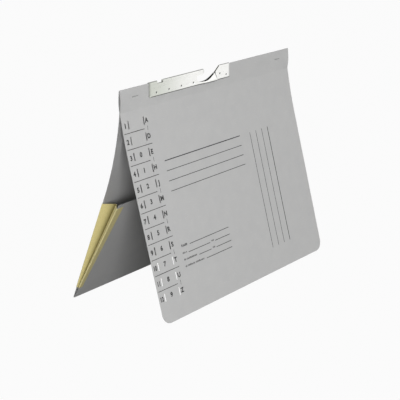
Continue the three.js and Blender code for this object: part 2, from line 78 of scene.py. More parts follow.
STEEL = 0.5
RAIL_MIDDLE = LAYER_GAP / 2 + CARD + 0.3 + STEEL / 2
RAIL_BEND = -(LAYER_GAP / 2 + CARD)
RAIL_DROP, RAIL_LEFT, RAIL_RIGHT = 16.2, -111.5, 34.5
PIT_RADIUS, PIT_DEPTH = 1.6, 0.5
PITS = ((-99.3, 12.0), (-77.5, 12.0), (-55.7, 12.0), (-33.9, 12.0), (16.1, 9.2), (28.5, 12.2))

# The folder's own origin, read from the card over the spine
spine_low, spine_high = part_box("spine_fold")
ORIGIN = np.array([0.0, (spine_low.y + spine_high.y) / 2, spine_high.z])


def to_frame(points):
    """Millimetres from the folder's own origin, turned into metres of the row frame."""
    return np.asarray(points, float) * MM + ORIGIN


# Materials


def srgb(code):
    """Six hex digits of sRGB as linear red, green, blue and alpha: c/12.92 where dark, else a power law."""
    c = np.array([int(code[i : i + 2], 16) for i in (0, 2, 4)]) / 255
    c = np.where(c <= 0.04045, c / 12.92, ((c + 0.055) / 1.055) ** 2.4)
    return (*c.tolist(), 1.0)


def add(tree, kind, sockets=None, **settings):
    """Adds a shader node. Settings are its properties, and sockets takes numbers, colours or outputs."""
    made = tree.nodes.new("ShaderNode" + kind)
    for key, value in settings.items():
        setattr(made, key, value)
    for key, value in (sockets or {}).items():
        if isinstance(value, bpy.types.NodeSocket):
            tree.links.new(value, made.inputs[key])
        else:
            made.inputs[key].default_value = value
    return made


def material(name):
    """An empty node material, its node tree and its output node."""
    made = bpy.data.materials.new(name)
    made.use_nodes = True
    made.node_tree.nodes.clear()
    return made, made.node_tree, add(made.node_tree, "OutputMaterial")


def surface(tree, output, sockets):
    """A principled shader with these sockets, joined to the output."""
    shader = add(tree, "BsdfPrincipled", sockets)
    tree.links.new(shader.outputs[0], output.inputs["Surface"])


def mixed(tree, share, a, b):
    """The colour output of a mix between two colours."""
    return add(tree, "Mix", {0: share, 6: a, 7: b}, data_type="RGBA").outputs[2]


def manila_card():
    """Grey 320 g manila card, calendered: a matt even grey with faint clouds 14 mm across and short pale
    fibres."""
    made, tree, output = material("grey_manila_card")
    place = add(tree, "TexCoord").outputs["Object"]
    cloud = add(tree, "TexNoise", {"Vector": place, "Scale": 1 / (14 * MM), "Detail": 3.0})
    along = add(tree, "Mapping", {"Vector": place, "Scale": (0.35, 1.0, 1.0)}).outputs[0]
    fibre = add(tree, "TexNoise", {
        "Vector": along, "Scale": 1 / (1.1 * MM), "Detail": 4.0, "Roughness": 0.65,
    })
    clouded = mixed(tree, cloud.outputs["Fac"], srgb("b1b1b1"), srgb("b9b9b8"))
    fleck = add(
        tree, "MapRange", {0: fibre.outputs["Fac"], 1: 0.55, 2: 0.8, 3: 0.0, 4: 0.35}
    ).outputs[0]
    colour = mixed(tree, fleck, clouded, srgb("cbcbc9"))
    bump = add(tree, "Bump", {"Height": fibre.outputs["Fac"], "Strength": 0.35, "Distance": 0.05 * MM})
    surface(tree, output, {
        "Base Color": colour, "Roughness": 0.82, "Specular IOR Level": 0.35, "Normal": bump.outputs[0],
    })
    return made


def bright_steel():
    """Cold-rolled strip steel, bright plated: a satin face, darker and greenish at one end as painted shade
    and bright at the other as painted reflection, with painted shade on the bends, ends, lower edge, hook's
    lip, cut edges and pressed pits."""
    made, tree, output = material("bright_strip_steel")
    place = add(tree, "TexCoord").outputs["Object"]
    drawn = add(tree, "Mapping", {"Vector": place, "Scale": (0.03, 1.0, 1.0)}).outputs[0]
    rolling = add(tree, "TexNoise", {"Vector": drawn, "Scale": 1 / (0.5 * MM), "Detail": 3.0})
    along = add(tree, "SeparateXYZ", {0: place}).outputs["X"]
    share = add(tree, "MapRange", {0: along, 1: RAIL_LEFT * MM, 2: -30 * MM, 3: 0.0, 4: 1.0},
                interpolation_type="SMOOTHSTEP").outputs[0]
    # Painted shade and reflection along the rail: darker and greenish at the left end, brightening to a
    # painted reflection from the middle on
    face = mixed(tree, share, srgb("d3d6ce"), srgb("fbfbf9"))
    rolled = mixed(tree, rolling.outputs["Fac"], srgb("f2f2f0"), srgb("ffffff"))
    face = add(tree, "Mix", {0: 1.0, 6: face, 7: rolled}, data_type="RGBA", blend_type="MULTIPLY").outputs[2]
    # Painted shade on the bends, ends, lower edge, hook's lip, pits, cut edges and inside, read from a point
    # attribute
    painted_shade = add(tree, "Attribute", attribute_name="painted_shade").outputs["Fac"]
    colour = mixed(tree, painted_shade, face, srgb("595a57"))
    rough = add(
        tree, "MapRange", {0: rolling.outputs["Fac"], 1: 0.3, 2: 0.7, 3: 0.26, 4: 0.36}
    ).outputs[0]
    surface(tree, output, {"Base Color": colour, "Metallic": 1.0, "Roughness": rough})
    return made


def drawn_wire():
    """Drawn staple wire, zinc grey: darker than the rail, with streaks along it."""
    made, tree, output = material("zinc_staple_wire")
    place = add(tree, "TexCoord").outputs["Object"]
    streak = add(tree, "TexNoise", {"Vector": place, "Scale": 1 / (0.8 * MM), "Detail": 2.0})
    colour = mixed(tree, streak.outputs["Fac"], srgb("6d6f6e"), srgb("9a9c9b"))
    surface(tree, output, {"Base Color": colour, "Metallic": 1.0, "Roughness": 0.38})
    return made


def plated_steel():
    """Nickel-plated spring steel of the filing fastener: a warm satin metal."""
    made, tree, output = material("nickel_plated_steel")
    place = add(tree, "TexCoord").outputs["Object"]
    drawn = add(tree, "Mapping", {"Vector": place, "Scale": (0.05, 1.0, 1.0)}).outputs[0]
    rolling = add(tree, "TexNoise", {"Vector": drawn, "Scale": 1 / (0.4 * MM), "Detail": 3.0})
    colour = mixed(tree, rolling.outputs["Fac"], srgb("c6c5bf"), srgb("dddcd6"))
    rough = add(
        tree, "MapRange", {0: rolling.outputs["Fac"], 1: 0.3, 2: 0.7, 3: 0.25, 4: 0.42}
    ).outputs[0]
    surface(tree, output, {"Base Color": colour, "Metallic": 1.0, "Roughness": rough})
    return made


# A wave texture turns 20 radians for each unit of its scale, so this scale draws a thread every 0.57 mm
WEAVE_SCALE = 1 / (1.8 * MM)


def linen_tape():
    """Cream bookbinder's linen tape: a plain weave, drawn at 0.57 mm so that it shows, with slubs. It gets
    painted shade towards the valley fold and a painted highlight along the fold over the panel's edge."""
    made, tree, output = material("cream_linen_tape")
    place = add(tree, "UVMap", uv_map="cloth").outputs[0]
    wave = {"Vector": place, "Scale": WEAVE_SCALE, "Distortion": 0.6, "Detail Scale": 2.0}
    warp = add(tree, "TexWave", wave, bands_direction="X").outputs["Fac"]
    weft = add(tree, "TexWave", wave, bands_direction="Y").outputs["Fac"]
    weave = add(tree, "Math", {0: warp, 1: weft}, operation="MULTIPLY").outputs[0]
    slub = add(tree, "TexNoise", {"Vector": place, "Scale": 1 / (3 * MM), "Detail": 3.0})
    base = mixed(tree, slub.outputs["Fac"], srgb("cdbf7e"), srgb("ddd193"))
    cloth = mixed(tree, weave, base, srgb("e8dda6"))
    # Painted shade towards the valley fold and a painted highlight on the fold over the panel's edge, from
    # two point attributes
    valley_shade = add(tree, "Attribute", attribute_name="valley_shade").outputs["Fac"]
    fold_highlight = add(tree, "Attribute", attribute_name="fold_highlight").outputs["Fac"]
    colour = mixed(tree, fold_highlight, mixed(tree, valley_shade, cloth, srgb("5c5425")), srgb("f6efc0"))
    bump = add(tree, "Bump", {"Height": weave, "Strength": 0.5, "Distance": 0.08 * MM})
    surface(tree, output, {
        "Base Color": colour, "Roughness": 0.9, "Specular IOR Level": 0.2, "Sheen Weight": 0.15,
        "Normal": bump.outputs[0],
    })
    return made


def printing_ink():
    """Offset printing ink, dark grey and slightly thin where the card's fibres stand up."""
    made, tree, output = material("dark_printing_ink")
    place = add(tree, "TexCoord").outputs["Object"]
    thin = add(tree, "TexNoise", {"Vector": place, "Scale": 1 / (0.9 * MM), "Detail": 3.0})
    colour = mixed(tree, thin.outputs["Fac"], srgb("1c1c1c"), srgb("303030"))
    surface(tree, output, {"Base Color": colour, "Roughness": 0.6, "Specular IOR Level": 0.3})
    return made


CARD_FINISH = manila_card()
RAIL_FINISH = bright_steel()
WIRE_FINISH = drawn_wire()
FASTENER_FINISH = plated_steel()
TAPE_FINISH = linen_tape()
INK_FINISH = printing_ink()


# Meshes


SHARP = math.radians(35)


def piece(name, points, faces, finish, uv=None):
    """An object at the origin from points in millimetres and quads, smooth except over edges sharper than 35
    degrees."""
    mesh = bpy.data.meshes.new(name)
    mesh.from_pydata(to_frame(points).tolist(), [], np.asarray(faces).tolist())
    if uv is not None:
        layer = mesh.uv_layers.new(name="cloth")
        corner = np.zeros(len(mesh.loops), np.int32)
        mesh.loops.foreach_get("vertex_index", corner)
        layer.uv.foreach_set("vector", np.asarray(uv, np.float32)[corner].ravel())
    mesh.materials.append(finish)
    mesh.shade_smooth()
    mesh.set_sharp_from_angle(angle=SHARP)
    made = bpy.data.objects.new(name, mesh)
    bpy.context.scene.collection.objects.link(made)
    return made


def slab(outer, inner, keep=None):
    """Points and quads of a closed sheet between two grids of equal size: a quad on each face for every kept
    cell, and a wall wherever a kept cell has no kept neighbour. The winding follows the way from the inner
    grid to the outer."""
    rows, columns = outer.shape[:2]
    keep = np.ones((rows - 1, columns - 1), bool) if keep is None else keep
    number = np.arange(rows * columns).reshape(rows, columns)
    a, b, c, d = number[:-1, :-1], number[:-1, 1:], number[1:, 1:], number[1:, :-1]
    under = rows * columns
    top = np.stack([a, b, c, d], -1)[keep]
    padded = np.pad(keep, 1)
    walls = []
    sides = (
        (a, b, padded[:-2, 1:-1]), (b, c, padded[1:-1, 2:]),
        (c, d, padded[2:, 1:-1]), (d, a, padded[1:-1, :-2]),
    )
    for start, end, neighbour in sides:
        bare = keep & ~neighbour
        p, q = start[bare], end[bare]
        walls.append(np.stack([q, p, p + under, q + under], -1))
    faces = np.concatenate([top, top[:, ::-1] + under, *walls])
    points = np.concatenate([outer.reshape(-1, 3), inner.reshape(-1, 3)])
    p = points[top]
    normal = np.cross(p[:, 1] - p[:, 0], p[:, 3] - p[:, 0])
    if (normal * (p[:, 0] - points[top[:, 0] + under])).sum() < 0:
        faces = faces[:, ::-1]
    return points, faces


def gathered(parts):
    """Several sets of points and quads as one set."""
    start = np.cumsum([0] + [len(points) for points, _ in parts])
    return (
        np.concatenate([points for points, _ in parts]),
        np.concatenate([faces + shift for (_, faces), shift in zip(parts, start)]),
    )


def steps(marks, spacing):
    """Grid lines through every mark, with even steps no wider than the spacing between them."""
    marks = np.unique(np.round(marks, 4))
    runs = [
        np.linspace(a, b, max(1, math.ceil((b - a) / spacing)), endpoint=False)
        for a, b in zip(marks, marks[1:])
    ]
    return np.append(np.concatenate(runs), marks[-1])


def smooth(t):
    """The cubic 3t²-2t³ between 0 and 1."""
    t = np.clip(t, 0, 1)
    return t * t * (3 - 2 * t)


# The card's own lines


class CardLine:
    """The middle line of one leaf, from the crown of the top fold down. Its angle from straight down is the
    sum of steady turns, and its place is the running sum of that angle's sine and cosine."""

    STEP = 0.05

    def __init__(self, side, turns, length):
        self.side, self.length = side, length
        self.s = np.arange(0.0, length + self.STEP, self.STEP)
        self.angle = np.full_like(self.s, math.pi / 2)
        for start, end, turn in turns:
            self.angle += turn * np.clip((self.s - start) / (end - start), 0, 1)
        middle = (self.angle[1:] + self.angle[:-1]) / 2
        self.y = side * np.append(0, np.cumsum(np.sin(middle))) * self.STEP
        self.z = -CARD / 2 - np.append(0, np.cumsum(np.cos(middle))) * self.STEP

    def at(self, u, s, out=0.0):
        """Points at u from the left edge and s along the card, lifted off its middle by out on the outer
        side. Each spine layer bows out by a sine down the spine, squared towards its ends, and the front leaf
        has its cockle added."""
        x = u - WIDTH / 2
        y, z = np.interp(s, self.s, self.y), np.interp(s, self.s, self.z)
        angle = np.interp(s, self.s, self.angle)
        reach = np.clip((np.abs(x) - WIDTH / 2 + BOW_LENGTH) / BOW_LENGTH, 0, 1)
        share = np.clip((s - CROWN_ARC) / (SPINE_FOOT - CROWN_ARC), 0, 1)
        y = y + self.side * END_BOW * reach**2 * np.sin(math.pi * share)
        lift = out + self.cockle(x, s)
        return np.stack([x + 0 * s, y + self.side * lift * np.cos(angle), z + lift * np.sin(angle)], -1)

    def cockle(self, x, s):
        """The front leaf's slight waves: two crossed sines that fade in over 70 mm below the hinge. The back
        leaf stays flat."""
        if self.side == BACK:
            return 0.0
        wave = np.sin(x / 41 + s / 63) * 0.6 + np.sin(s / 37 - x / 71 + 1.1) * 0.4
        return COCKLE * wave * smooth((s - HINGE) / 70)


def hinge_turn(lean):
    """The turn at the crease, spread over the softness of the fold."""
    return (HINGE - HINGE_SOFTNESS, HINGE + HINGE_SOFTNESS, lean)


CROWN = (0.0, CROWN_ARC, -math.pi / 2)
back_turns = [CROWN, hinge_turn(BACK_LEAN), (HINGE, HINGE + BACK_CURL_LENGTH, BACK_CURL)]
foot_start = HINGE + BACK_LENGTH
foot_turn = math.pi - PANEL_LEAN
foot_end = foot_start + FOLD_RADIUS * foot_turn
back_leaf = CardLine(BACK, [*back_turns, (foot_start, foot_end, -foot_turn)], foot_end + PANEL_HEIGHT)

front_turns = [CROWN, hinge_turn(FRONT_LEAN), (HINGE, HINGE + FRONT_CURL_LENGTH, FRONT_CURL)]
front_leaf = CardLine(FRONT, front_turns, 300.0)
ground = (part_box("front_cover")[0].z - ORIGIN[2]) / MM
end_drop = -ground - CARD / 2 * math.sin(FRONT_LEAN + FRONT_CURL)
front_end = float(np.interp(end_drop, -front_leaf.z, front_leaf.s))


# Card pieces


def hook_outline():
    """The hook opening in x and z, as arcs and cubic curves through its named corners."""
    lip_tip, lip_drop, throat_end, throat = -13.4, 5.6, -27.6, 2.1
    cradle, tongue, mouth = (-14.0, -13.6), (6.6, -6.9), 15.4
    t = np.linspace(0, 1, 13)[:, None]

    def quadratic(a, b, c):
        return (1 - t) ** 2 * np.array(a) + 2 * t * (1 - t) * np.array(b) + t**2 * np.array(c)

    def cubic(a, b, c, d):
        return (1 - t) * quadratic(a, b, c) + t * quadratic(b, c, d)

    turn = np.linspace(math.pi / 2, 1.15 * math.pi, 13)
    bend_x, bend_z = throat_end + throat, -lip_drop - throat
    arc = np.stack([bend_x + throat * np.cos(turn), bend_z + throat * np.sin(turn)], -1)
    lip = quadratic((lip_tip - 1, 0), (lip_tip + 0.8, -lip_drop * 0.6), (lip_tip - 2.4, -lip_drop))
    floor = cubic(arc[-1], (throat_end + 1.5, cradle[1] + 1.4), (cradle[0] - 8, cradle[1]), cradle)
    ramp = cubic(cradle, (cradle[0] + 8, cradle[1]), (tongue[0] - 7, tongue[1] - 3.4), tongue)
    return np.concatenate([[(lip_tip - 1, 5)], lip, arc, floor[1:], ramp[1:], [(mouth, 0), (mouth, 5)]])


def notch_outline():
    """The square notch in the spine, in x and z."""
    left, width, depth = -97.6, 9.7, 2.4
    return np.array([(left, 5), (left, -depth), (left + width, -depth), (left + width, 5)])


def turning(outline):
    """1 for a closed outline that turns left, else -1, by the sign of the shoelace sum."""
    following = np.roll(outline, -1, 0)
    return np.sign((outline[:, 0] * following[:, 1] - following[:, 0] * outline[:, 1]).sum())


def grown(outline, gap):
    """A closed outline moved outwards by the gap, along the mean of its neighbours' normals."""
    step = np.roll(outline, -1, 0) - np.roll(outline, 1, 0)
    normal = np.stack([step[:, 1], -step[:, 0]], -1)
    normal /= np.linalg.norm(normal, axis=1, keepdims=True)
    return outline + normal * gap * turning(outline)


def cutter(outline, depth):
    """A prism through the spine with this outline in x and z."""
    count = len(outline)
    near = np.stack([outline[:, 0], np.full(count, -depth), outline[:, 1]], -1)
    far = near + (0, 2 * depth, 0)
    mesh = bpy.data.meshes.new("cutter")
    ring = np.arange(count)
    following = np.roll(ring, -1)
    walls = np.stack([ring, following, following + count, ring + count], -1).tolist()
    faces = [*walls, ring[::-1].tolist(), (ring + count).tolist()]
    mesh.from_pydata(to_frame(np.concatenate([near, far])).tolist(), [], faces)
    made = bpy.data.objects.new("cutter", mesh)
    bpy.context.scene.collection.objects.link(made)
    if turning(outline) > 0:
        mesh.flip_normals()
    return made


def evaluated_mesh(made):
    """A new mesh of what the object shows, with its modifiers or its text."""
    bpy.context.view_layer.update()
    return bpy.data.meshes.new_from_object(made.evaluated_get(bpy.context.evaluated_depsgraph_get()))


def cut(target, cutters):
    """Takes the cutters out of the target's mesh one by one, and removes them."""
    for tool in cutters:
        modifier = target.modifiers.new("opening", "BOOLEAN")
        modifier.operation, modifier.solver, modifier.object = "DIFFERENCE", "EXACT", tool
        result = evaluated_mesh(target)
        target.modifiers.clear()
        target.data = result
        bpy.data.objects.remove(tool)


FRONT_GRID, BACK_GRID = 3.2, 4.0
CREASE_LINES = np.linspace(HINGE - HINGE_SOFTNESS, HINGE + HINGE_SOFTNESS, 9)
FOLD_LINES = [*np.linspace(0, CROWN_ARC, 7), *CREASE_LINES]


def slot_cells(us, ss):
    """False for the grid cells that lie in a slot, by the place of their middles."""
    u, s = np.meshgrid((us[1:] + us[:-1]) / 2, (ss[1:] + ss[:-1]) / 2)
    row = np.round((s - FIRST_SLOT) / SLOT_PITCH)
    in_row = np.abs(s - FIRST_SLOT - row * SLOT_PITCH) < SLOT_SIZE[1] / 2
    in_row &= (row >= 0) & (row < SLOT_ROWS)
    in_column = np.any([np.abs(u - column) < SLOT_SIZE[0] / 2 for column in SLOT_COLUMNS], 0)
    return ~(in_row & in_column)


def front_sheet():
    """The front leaf in one piece, from the crown over the crease to its free edge. Its grid has lines along
    every slot, and near the foot its outer columns draw in along a quarter circle at each corner."""
    columns = [column + side * SLOT_SIZE[0] / 2 for column in SLOT_COLUMNS for side in (-1, 1)]
    us = steps([0, 3, CORNER_RADIUS * 4, WIDTH - 40, WIDTH, *columns], FRONT_GRID)
    half = SLOT_SIZE[1] / 2
    slots = [FIRST_SLOT + i * SLOT_PITCH + side * half for i in range(SLOT_ROWS) for side in (-1, 1)]
    corner = front_end - CORNER_RADIUS + CORNER_RADIUS * np.sin(np.linspace(0, math.pi / 2, 13))
    ss = steps([*FOLD_LINES, *slots, *corner], FRONT_GRID)
    keep = slot_cells(us, ss)
    u, s = np.meshgrid(us, ss)
    drop = np.clip(s - (front_end - CORNER_RADIUS), 0, CORNER_RADIUS)
    inset = CORNER_RADIUS - np.sqrt(CORNER_RADIUS**2 - drop**2)
    near_edge = np.clip(1 - np.minimum(u, WIDTH - u) / (CORNER_RADIUS * 2.5), 0, 1)
    u = u + np.where(u < WIDTH / 2, 1, -1) * inset * near_edge
    points, faces = slab(front_leaf.at(u, s, CARD / 2), front_leaf.at(u, s, -CARD / 2), keep)
    return piece("front_card_leaf", points, faces, CARD_FINISH)


def back_sheet():
    """The back leaf in one piece, from the crown over the crease and round the bottom fold to the pocket's
    mouth."""
    ss = steps([*FOLD_LINES, *np.linspace(foot_start, foot_end, 17), back_leaf.length], BACK_GRID)
    u, s = np.meshgrid(steps([0, WIDTH], BACK_GRID), ss)
    points, faces = slab(back_leaf.at(u, s, CARD / 2), back_leaf.at(u, s, -CARD / 2))
    return piece("back_card_leaf", points, faces, CARD_FINISH)


front_card, back_card = front_sheet(), back_sheet()
OPENING_MARGIN = 1.5

# How far the cutters reach to each side of the spine's middle
CARD_CUT, RAIL_CUT = 4.0, 10.0

for card in (front_card, back_card):
    outlines = (hook_outline(), notch_outline())
    cut(card, [cutter(grown(outline, OPENING_MARGIN), CARD_CUT) for outline in outlines])
    card.data.shade_smooth()
    card.data.set_sharp_from_angle(angle=SHARP)
crease_y, crease_reach = (LAYER_GAP + CARD) / 2, 1.2
for card, side, body, nodes in (
    (front_card, FRONT, "front", ("front_cover", "spine_fold")),
    (back_card, BACK, "back", ("back_cover", "spine_fold")),
):
    start, end = to_frame([
        (0, side * crease_y, -HINGE + crease_reach), (0, side * crease_y, -HINGE - crease_reach),
    ])
    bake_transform(card)
    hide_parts(*nodes)


# Print on the front leaf

INK_LIFT = (CARD / 2 + 0.01, CARD / 2 + 0.04)
FINE, BOLD, TICK_WEIGHT = 0.7, 1.05, 0.5

# The lines and ticks between the index rows, with two lengths of line in turn
ROW_LINE_START, ROW_LINE_ENDS = 1.8, (34.6, 43.2)
TICK_PLACE, TICK_HALF = 40.0, 2.6

# The title's lines run across and the ledger's run down, four of each from the same depth
RULE_TOP, RULE_COUNT = 88.3, 4
TITLE_LEFT, TITLE_RIGHT, TITLE_PITCH = 57, 197.4, 11.5
LEDGER_LEFT, LEDGER_FOOT, LEDGER_PITCH = 218, 231.9, 12.3

# The form's lines: left and right end, and depth
FORM_LINES = (
    (68.3, 141.6, 186.1), (63.8, 103.4, 194.4), (113, 141.2, 194.4),
    (80.8, 103.4, 202.1), (113, 141.8, 202.1), (92, 141, 209.6),
)

# The form's labels: left and right end, middle, height and the width of one mark
FORM_LABELS = (
    (54, 65.5, 184.8, 3.3, 1.25), (53.6, 62.2, 193.2, 2.1, 0.95), (54, 77.5, 200.9, 2.1, 0.95),
    (53.8, 88, 208.5, 2.1, 0.95), (106.4, 111, 193, 2.1, 0.9), (106.4, 111, 200.9, 2.1, 0.9),
)

# The index: the middles of its three columns, and how far each sits below the middles of the slots
NUMBER_PLACE, DIGIT_PLACE, LETTER_PLACE = 5.1, 21.5, 39.9
NUMBER_DROP, DIGIT_DROP, LETTER_DROP = 0.2, -0.6, -0.2
TWO_DIGIT_WIDTH = 0.8

# The height of the index characters, and the built-in font's cap height and stroke growth at size 1
INDEX_HEIGHT, CAP_HEIGHT, STROKE_GROWTH = 5.3, 0.729, 0.042


def ink_block(left, right, top, bottom):
    """A printed rectangle, laid on the outer face."""
    u, s = np.meshgrid(steps([left, right], 6), steps([top, bottom], 6))
    return slab(front_leaf.at(u, s, INK_LIFT[1]), front_leaf.at(u, s, INK_LIFT[0]))


def across(left, right, depth, weight=FINE):
    """A printed line along the spine's direction."""
    return ink_block(left, right, depth - weight / 2, depth + weight / 2)


def down(left, top, bottom, weight=FINE):
    """A printed line down the leaf."""
    return ink_block(left - weight / 2, left + weight / 2, top, bottom)


def ruled_lines():
    """The index rows' lines and ticks, the title lines, the ledger columns and the form's lines."""
    lines = []
    for row in range(SLOT_ROWS):
        middle = FIRST_SLOT + (row + 0.5) * SLOT_PITCH
        if row < SLOT_ROWS - 1:
            lines.append(across(ROW_LINE_START, ROW_LINE_ENDS[row % 2], middle))
        if row % 2 == 0:
            lines.append(down(TICK_PLACE, middle - TICK_HALF, middle + TICK_HALF, TICK_WEIGHT))
    for i in range(RULE_COUNT):
        weight = BOLD if i == 0 else FINE
        lines.append(across(TITLE_LEFT, TITLE_RIGHT, RULE_TOP + i * TITLE_PITCH, weight))
    for i in range(RULE_COUNT):
        weight = BOLD if i == RULE_COUNT - 1 else FINE
        lines.append(down(LEDGER_LEFT + i * LEDGER_PITCH, RULE_TOP, LEDGER_FOOT, weight))
    return [*lines, *(across(*line) for line in FORM_LINES)]


def label_marks():
    """Rows of short blocks that stand where the form's labels are printed: each is a word's length of small
    marks."""
    rng = np.random.default_rng(7)
    marks = []
    for left, right, middle, height, stem in FORM_LABELS:
        at = left
        while at < right - stem:
            tall = height * rng.uniform(0.7, 1.0)
            marks.append(ink_block(at, at + stem, middle + height / 2 - tall, middle + height / 2))
            at += stem * rng.uniform(1.45, 1.9) + (stem if rng.random() < 0.14 else 0)
    return marks


def lettered(entries):
    """Numbers and letters as solid outlines: each is centred in u and s, scaled to its height, and laid on
    the outer face between the two lifts."""
    parts = []
    scale = INDEX_HEIGHT / CAP_HEIGHT
    for text, u, s, narrow in entries:
        curve = bpy.data.curves.new("text", "FONT")
        curve.body, curve.size, curve.extrude, curve.offset = text, 1.0, 0.5, STROKE_GROWTH
        curve.align_x = "CENTER"
        curve.resolution_u = 5
        holder = bpy.data.objects.new("text", curve)
        bpy.context.scene.collection.objects.link(holder)
        mesh = evaluated_mesh(holder)
        flat = np.zeros(len(mesh.vertices) * 3)
        mesh.vertices.foreach_get("co", flat)
        flat = flat.reshape(-1, 3)
        low, high = flat.min(0), flat.max(0)
        right = (flat[:, 0] - (low[0] + high[0]) / 2) * scale * narrow
        below = -(flat[:, 1] - CAP_HEIGHT / 2) * scale
        share = (flat[:, 2] - low[2]) / (high[2] - low[2])
        lift = INK_LIFT[0] + share * (INK_LIFT[1] - INK_LIFT[0])
        faces = [list(p.vertices) for p in mesh.polygons]
        parts.append((front_leaf.at(u + right, s + below, lift), faces))
        bpy.data.objects.remove(holder)
    return parts


def index_text():
    """The row numbers left of the slots, the digits between the columns and the index letters to the right,
    each with its place and its share of the full width."""
    row_at = [FIRST_SLOT + i * SLOT_PITCH for i in range(SLOT_ROWS)]
    numbers = [
        (str(i + 1), NUMBER_PLACE, s + NUMBER_DROP, 1.0 if i < 9 else TWO_DIGIT_WIDTH)
        for i, s in enumerate(row_at)
    ]
    digits = [(str(i), DIGIT_PLACE, s + DIGIT_DROP, 1.0) for i, s in enumerate(row_at[2:])]
    letters = [(letter, LETTER_PLACE, s + LETTER_DROP, 1.0) for letter, s in zip("ADEHJMNRSTUZ", row_at)]
    return [*numbers, *digits, *letters]


ruled = piece("printed_lines", *gathered([*ruled_lines(), *label_marks()]), INK_FINISH)
parts = lettered(index_text())
starts = np.cumsum([0] + [len(points) for points, _ in parts])
text_faces = [[int(v + shift) for v in face] for (_, faces), shift in zip(parts, starts) for face in faces]
text_mesh = bpy.data.meshes.new("index_characters")
text_mesh.from_pydata(to_frame(np.concatenate([points for points, _ in parts])).tolist(), [], text_faces)
text_mesh.materials.append(INK_FINISH)
characters = bpy.data.objects.new("index_characters", text_mesh)
bpy.context.scene.collection.objects.link(characters)
for ink in (ruled, characters):
    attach(ink, "front")


# Pocket gussets

TAPE, TAPE_GAP = 0.25, 0.15
TAPE_START, TAPE_TOP_BACK, TAPE_TOP_PANEL = 14.0, 131.0, 139.0
TAPE_LAP_FOOT, TAPE_LAP = 5.0, 9.5
GUSSET_DEPTH, GUSSET_VALLEY, TAPE_BEND = 11.0, 0.5, 0.5
TAPE_ROWS = 48
# The painted shade towards the valley: its strength and power; the painted highlight on the panel's fold: its
# strength and radius
SHADE_STRENGTH, SHADE_POWER, HIGHLIGHT_STRENGTH, HIGHLIGHT_RADIUS = 0.95, 2.5, 0.8, 0.45


def rounded_corners(line, radius):
    """Each inner corner of the lines becomes a quadratic curve that starts and ends a radius from it, or a
    third of the way along its shorter neighbour. The lines are (heights, points, 2)."""
    before, corner, after = line[:, :-2], line[:, 1:-1], line[:, 2:]
    into, out = before - corner, after - corner
    near = np.linalg.norm(into, axis=2, keepdims=True)
    far = np.linalg.norm(out, axis=2, keepdims=True)
    reach = np.minimum(radius, np.minimum(near, far) / 3)
    start, end = corner + into / near * reach, corner + out / far * reach
    t = np.linspace(0, 1, 6)[None, None, :, None]
    start, corner, end = start[:, :, None], corner[:, :, None], end[:, :, None]
    curve = (1 - t) ** 2 * start + 2 * t * (1 - t) * corner + t**2 * end
    return np.concatenate([line[:, :1], curve.reshape(len(line), -1, 2), line[:, -1:]], 1)


def tape_rails():
    """Where the tape meets the back and the panel, in y and z for each row, and the rows' heights."""
    back_foot, panel_foot = (
        np.array([np.interp(s, back_leaf.s, back_leaf.y), np.interp(s, back_leaf.s, back_leaf.z)])
        for s in (foot_start, foot_end)
    )
    back_angle = BACK_LEAN + BACK_CURL
    panel_angle = back_angle + PANEL_LEAN
    below = np.linalg.norm(panel_foot - back_foot) / (2 * math.sin(PANEL_LEAN / 2))
    up_back = np.array([-math.sin(back_angle), math.cos(back_angle)])
    up_panel = np.array([-math.sin(panel_angle), math.cos(panel_angle)])
    share = np.linspace(0, 1, TAPE_ROWS)[:, None]
    height = TAPE_START + share * (TAPE_TOP_BACK - TAPE_START)
    panel_height = (below + TAPE_TOP_PANEL) / (below + TAPE_TOP_BACK) * (below + height) - below
    return back_foot + up_back * height, panel_foot + up_panel * panel_height, height


def point_shares(mesh, name, values):
    """A share at each point of the mesh, for its material to read."""
    layer = mesh.attributes.new(name, "FLOAT", "POINT")
    layer.data.foreach_set("value", values.astype(np.float32))


